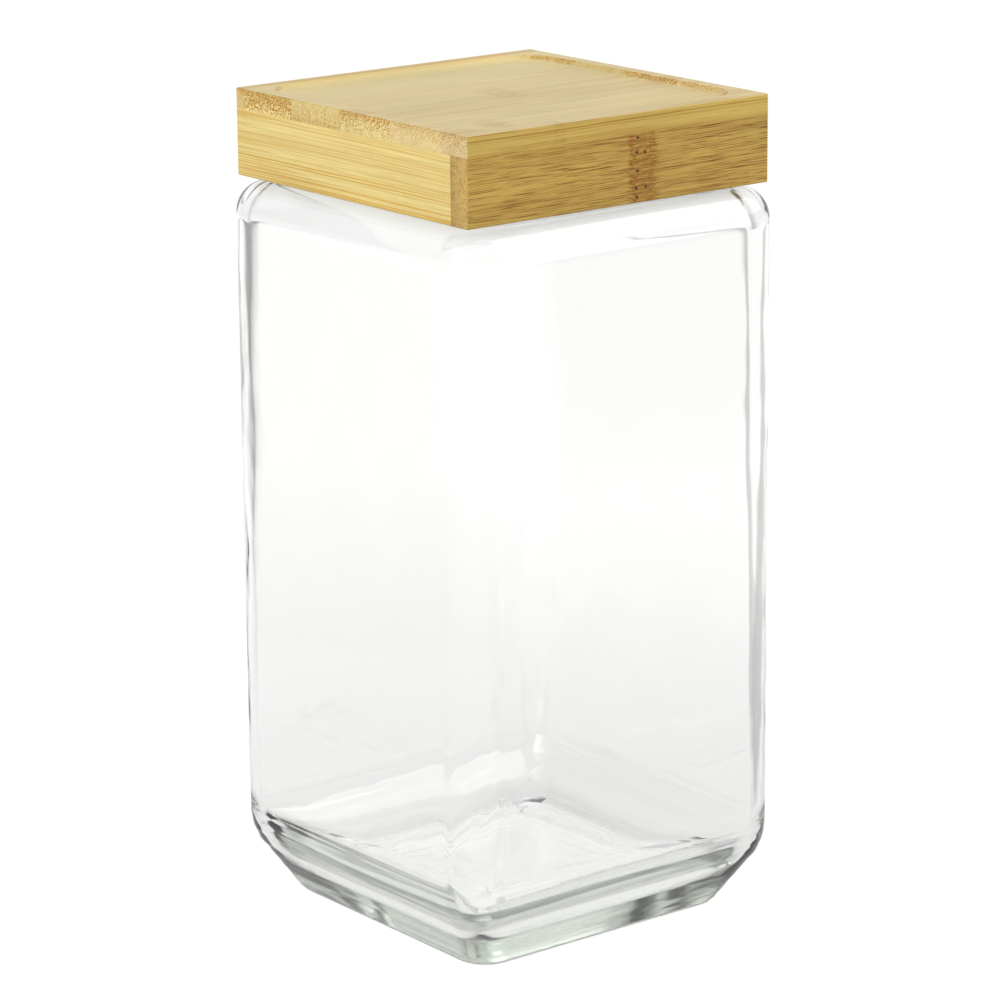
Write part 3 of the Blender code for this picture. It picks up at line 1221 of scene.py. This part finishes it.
@dataclass(frozen=True)
class Studio:
    """The floor, the light and the camera at the photograph's angle.

    Angles are in degrees, lens and sensor in millimetres, and everything else is in metres.
    """

    azimuth: float = -38.02
    elevation: float = 14.91
    roll: float = -0.50
    lens: float = 152.4
    sensor: float = 36.0
    distance: float = 10.90 * JAR_WIDTH
    aside: float = -0.0181 * JAR_WIDTH
    above: float = 1.0097 * JAR_WIDTH
    floor_half: float = 8.0
    floor_level: float = -0.05 * MM
    lamp_target: tuple[float, float, float] = (0.0, 0.0, 0.16)
    lamps: tuple[Lamp, ...] = (
        Lamp("left_key", (-1.5, -0.5, 0.9), 1.1, 17.0, (255, 252, 246)),
        Lamp("right_softbox", (1.1, -0.75, 1.15), 1.15, 13.0, (255, 253, 250)),
        Lamp("top_fill", (0.1, 0.3, 1.8), 1.2, 3.0, (255, 255, 255)),
    )

    def camera_axes(self) -> np.ndarray:
        """Works out which way the camera faces.

        Returns:
            Its right, up and back directions as three rows.
        """
        turn, lift, roll = np.radians([self.azimuth, self.elevation, self.roll])
        back = np.array([np.sin(turn) * np.cos(lift), -np.cos(turn) * np.cos(lift), np.sin(lift)])
        level = np.array([np.cos(turn), np.sin(turn), 0.0])
        upright = np.cross(back, level)
        right = np.cos(roll) * level + np.sin(roll) * upright
        up = -np.sin(roll) * level + np.cos(roll) * upright
        return np.array([right, up, back])

    def add_camera(self) -> None:
        """Puts the camera where the photograph was taken from."""
        axes = self.camera_axes()
        lens = bpy.data.cameras.new("photo_camera")
        lens.lens = self.lens
        lens.sensor_width = self.sensor
        lens.clip_start, lens.clip_end = 0.01, 50.0
        camera = add_object("photo_camera", lens)
        place = np.array([self.aside, self.above, self.distance]) @ axes
        camera.matrix_world = Matrix.Translation(place) @ Matrix(axes.T.tolist()).to_4x4()
        bpy.context.scene.camera = camera

    def add_floor(self) -> None:
        """Lays a pale floor that looks white and keeps the jar's shadow."""
        mesh = bpy.data.meshes.new("studio_floor")
        half, level = self.floor_half, self.floor_level
        corners = [(-half, -half, level), (half, -half, level), (half, half, level), (-half, half, level)]
        mesh.from_pydata(corners, [], [(0, 1, 2, 3)])
        material, nodes = new_material("studio_white")
        path = nodes.add("ShaderNodeLightPath").outputs
        place = nodes.add("ShaderNodeTexCoord").outputs["Object"]
        tone = self._sweep(nodes, place, path["Is Transmission Ray"])
        paper = nodes.add("ShaderNodeBsdfDiffuse", {"Color": linear((232, 232, 230))}).outputs[0]
        faint = nodes.add("ShaderNodeBsdfDiffuse", {"Color": (0.15, 0.15, 0.15, 1.0)}).outputs[0]
        white = nodes.add("ShaderNodeEmission", {"Color": WHITE, "Strength": 0.93}).outputs[0]
        glow = nodes.add("ShaderNodeEmission", {"Color": (1.0, 1.0, 0.99, 1.0), "Strength": tone}).outputs[0]
        shown = nodes.add("ShaderNodeAddShader", {0: white, 1: faint}).outputs[0]
        passed = nodes.largest(path["Is Glossy Ray"], path["Is Transmission Ray"])
        hidden = nodes.add("ShaderNodeMixShader", {0: passed, 1: paper, 2: glow}).outputs[0]
        surface = nodes.add("ShaderNodeMixShader", {0: path["Is Camera Ray"], 1: hidden, 2: shown}).outputs[0]
        nodes.add("ShaderNodeOutputMaterial", {"Surface": surface})
        mesh.materials.append(material)
        add_object("studio_floor", mesh)

    def _sweep(self, nodes: Nodes, place: object, through: object) -> Socket:
        """Works out how bright the white sweep looks through the glass and in it.

        It falls off towards the jar, a painted shadow of the jar. Seen through the glass it also falls off to
        the left and a little towards the camera, and a grey band of painted shade lies on the right, which
        darkens the jar's right edge. It is brighter right under the jar, a painted pool of the light that the
        jar gathers there, and has a painted soft contact shade under the foot ring.

        Args:
            nodes: The tree.
            place: The floor's coordinates in metres.
            through: 1 where the ray has come through the glass.

        Returns:
            The brightness.
        """
        right, _, back = self.camera_axes()
        # Painted shadow: the glow falls off towards the jar.
        tone = nodes.fade(nodes.vector("LENGTH", place).outputs["Value"], 0.06, 0.5, 0.88, 1.075)
        side, ahead = nodes.along(place, right), nodes.along(place, back)
        # Painted shade: a grey band on the right, seen only through the glass, darkens the jar's right edge.
        right_band_shade = nodes.product(nodes.fade(side, 0.125, 0.18, 0.0, 0.42), nodes.fade(side, 0.42, 0.32))
        left, near = nodes.fade(side, -0.12, -0.62, 0.0, 0.75), nodes.fade(ahead, 0.3, 0.7, 0.0, 0.25)
        dark = nodes.product(nodes.largest(left, near, right_band_shade), through)
        axes = nodes.parts(place)
        square = nodes.largest(nodes.math("ABSOLUTE", axes[0]), nodes.math("ABSOLUTE", axes[1]))
        # Painted contact shade under the foot ring and a painted pool of light right under the jar.
        ring = nodes.product(nodes.fade(square, 0.030, 0.037), nodes.fade(square, 0.062, 0.046))
        lit = nodes.math("MULTIPLY_ADD", nodes.fade(square, 0.047, 0.042), 0.31, 1.0)
        shade = nodes.math("MULTIPLY_ADD", ring, -0.07, 1.0)
        return nodes.product(tone, nodes.math("SUBTRACT", 1.0, dark), lit, shade)

    def add_world(self) -> None:
        """Makes the surroundings: white behind the object, and a plain soft light for its colours."""
        world = bpy.data.worlds.new("studio")
        bpy.context.scene.world = world
        world.use_nodes = True
        nodes = Nodes(world.node_tree)
        plain = {"Color": linear((255, 253, 248)), "Strength": 0.42}
        light = nodes.add("ShaderNodeBackground", plain).outputs[0]
        white = nodes.add("ShaderNodeBackground", {"Color": WHITE, "Strength": 1.0}).outputs[0]
        room = nodes.add("ShaderNodeBackground", {"Color": self._room(nodes), "Strength": 1.0}).outputs[0]
        path = nodes.add("ShaderNodeLightPath").outputs
        mirrored = nodes.largest(path["Is Glossy Ray"], path["Is Transmission Ray"])
        seen = nodes.add("ShaderNodeMixShader", {0: mirrored, 1: light, 2: room}).outputs[0]
        sky = nodes.add("ShaderNodeMixShader", {0: path["Is Camera Ray"], 1: seen, 2: white}).outputs[0]
        nodes.add("ShaderNodeOutputWorld", {"Surface": sky})

    def _room(self, nodes: Nodes) -> Socket:
        """Works out the room's colour by direction.

        It is white overhead and low behind the object. It is dim at the sides and on the camera's side, and a
        little dim higher up behind the object.

        Args:
            nodes: The tree.

        Returns:
            The colour.
        """
        right, _, back = self.camera_axes()
        way = nodes.add("ShaderNodeTexCoord").outputs["Generated"]
        front = nodes.along(way, Vector((back[0], back[1], 0.0)).normalized())
        side = nodes.along(way, Vector((right[0], right[1], 0.0)).normalized())
        height = nodes.parts(way)[2]
        behind = nodes.product(nodes.fade(front, -0.2, -0.6, 0.0, 0.35), nodes.fade(height, 0.2, 0.4))
        near = nodes.product(nodes.fade(front, -0.45, -0.1, 0.0, 0.85), nodes.fade(height, 0.7, 0.4))
        sides = nodes.fade(nodes.math("ABSOLUTE", side), 0.5, 0.85, 0.0, 0.5)
        dim = nodes.largest(behind, near, sides)
        return nodes.mix(dim, WHITE, (0.08, 0.085, 0.08, 1.0))

    def build(self) -> None:
        """Builds the whole studio."""
        self.add_camera()
        self.add_floor()
        self.add_world()
        for lamp in self.lamps:
            lamp.build(self.lamp_target)


def bamboo_finishes() -> dict[str, BambooFinish]:
    """Sets out the finish of each bamboo piece: six strips, four rails and the plug board.

    Returns:
        The finishes by CAD node.
    """
    edge = (216, 188, 116)
    knot = NodeBand(3.0, 9.0, 0.3, (-6.0, 14.0))
    speckled = NodeBand(-30.0, 8.0, 0.35, (-44.0, -28.0))
    pore_drops = (
        (5.7, 7.0), (5.3, 11.0), (8.2, 11.2), (5.55, 16.1), (5.15, 20.8), (8.5, 20.8), (5.3, 23.3)
    )
    return {
        "top_strip_1": BambooFinish(
            "strip_1_bamboo", edge, (190, 134, 44), 1.3, pitch=0.62, crust=0.5, end_tone=(217, 195, 134),
            # The back strip's top colour, partly painted sheen like every top, is a little darker and
            # yellower.
            top_tone_and_sheen=(212, 187, 126),
        ),
        "top_strip_2": BambooFinish(
            "strip_2_bamboo", edge, (244, 227, 160), 2.9, pitch=0.8, bundle_size=0.36, dark_ends=1.0,
            end_tone=(180, 132, 44), skin=Skin.DOWN,
        ),
        "top_strip_3": BambooFinish(
            "strip_3_bamboo", edge, (184, 140, 48), 4.4, pitch=0.66, dark_ends=0.8, end_tone=(221, 202, 142),
            skin=Skin.DOWN, bands=(knot,),
        ),
        "top_strip_4": BambooFinish(
            "strip_4_bamboo", edge, (176, 122, 30), 6.1, pitch=0.8, bundle_size=0.33, dark_ends=0.95,
            crust=0.35, end_tone=(230, 213, 150), bands=(knot,),
        ),
        "top_strip_5": BambooFinish(
            "strip_5_bamboo", edge, (184, 142, 58), 8.7, pitch=0.64, dark_ends=0.8, end_tone=(228, 208, 154),
            bands=(speckled,),
        ),
        # Strip 6's front face is darker and browner: partly its own colour, partly painted shade of the side
        # away from the key lamp.
        "top_strip_6": BambooFinish(
            "strip_6_bamboo", (208, 180, 96), (166, 118, 34), 9.8, pitch=0.6, dark_ends=0.75,
            dark_sides=0.75, dashes=0.5, end_tone=(226, 206, 156), bands=(NodeBand(-21.5, 4.0, 0.2),),
        ),
        # The front rail's face is darker and browner than the left rail's: partly its own flat-grain colour,
        # partly painted shade of the side away from the key lamp.
        "front_rail": BambooFinish(
            "front_rail_bamboo", (198, 165, 82), (126, 78, 16), 11.2, skin=Skin.LEFT,
            skin_range=(-53.0, -46.0), pitch=0.5, bundle_size=0.24, dark_ends=0.65, dark_sides=0.52,
            drift=0.014, dashes=2.3, end_tone=(212, 183, 112),
            bands=(NodeBand(7.4, 9.5, 0.7), NodeBand(4.0, 3.4, 1.0), NodeBand(10.4, 3.8, 0.85)),
            pores=tuple((along, BambooLid.top - drop) for along, drop in pore_drops),
        ),
        "left_rail": BambooFinish(
            "left_rail_bamboo", (232, 213, 144), (206, 162, 68), 13.6, fibre=Fibre.ALONG_Y, pitch=0.5,
            bundle_size=0.27, skin=Skin.LEFT, skin_range=(46.0, 53.0), dark_sides=0.75, drift=0.006,
            dashes=0.5,
        ),
        "right_rail": BambooFinish(
            "right_rail_bamboo", (226, 204, 138), (182, 136, 60), 15.1, fibre=Fibre.ALONG_Y,
            skin=Skin.RIGHT, skin_range=(-53.0, -46.0), dashes=0.4,
        ),
        "back_rail": BambooFinish(
            "back_rail_bamboo", (222, 198, 134), (178, 132, 60), 17.5, skin=Skin.LEFT,
            skin_range=(46.0, 53.0), dashes=0.4,
        ),
        "plug_board": BambooFinish(
            "plug_bamboo", (226, 206, 154), (176, 130, 62), 19.9, skin_range=(222.0, 231.5)
        ),
    }


def main() -> None:
    """Builds the jar, the lid, the seal and the studio in order."""
    logging.basicConfig(level=logging.INFO, format="%(message)s")
    scene = bpy.context.scene
    scene.view_settings.view_transform = "Standard"
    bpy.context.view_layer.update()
    GlassJar().build()
    BambooLid(finishes=bamboo_finishes()).build()
    SiliconeSeal().build()
    Studio().build()
    bpy.context.view_layer.update()


if __name__ == "__main__":
    main()
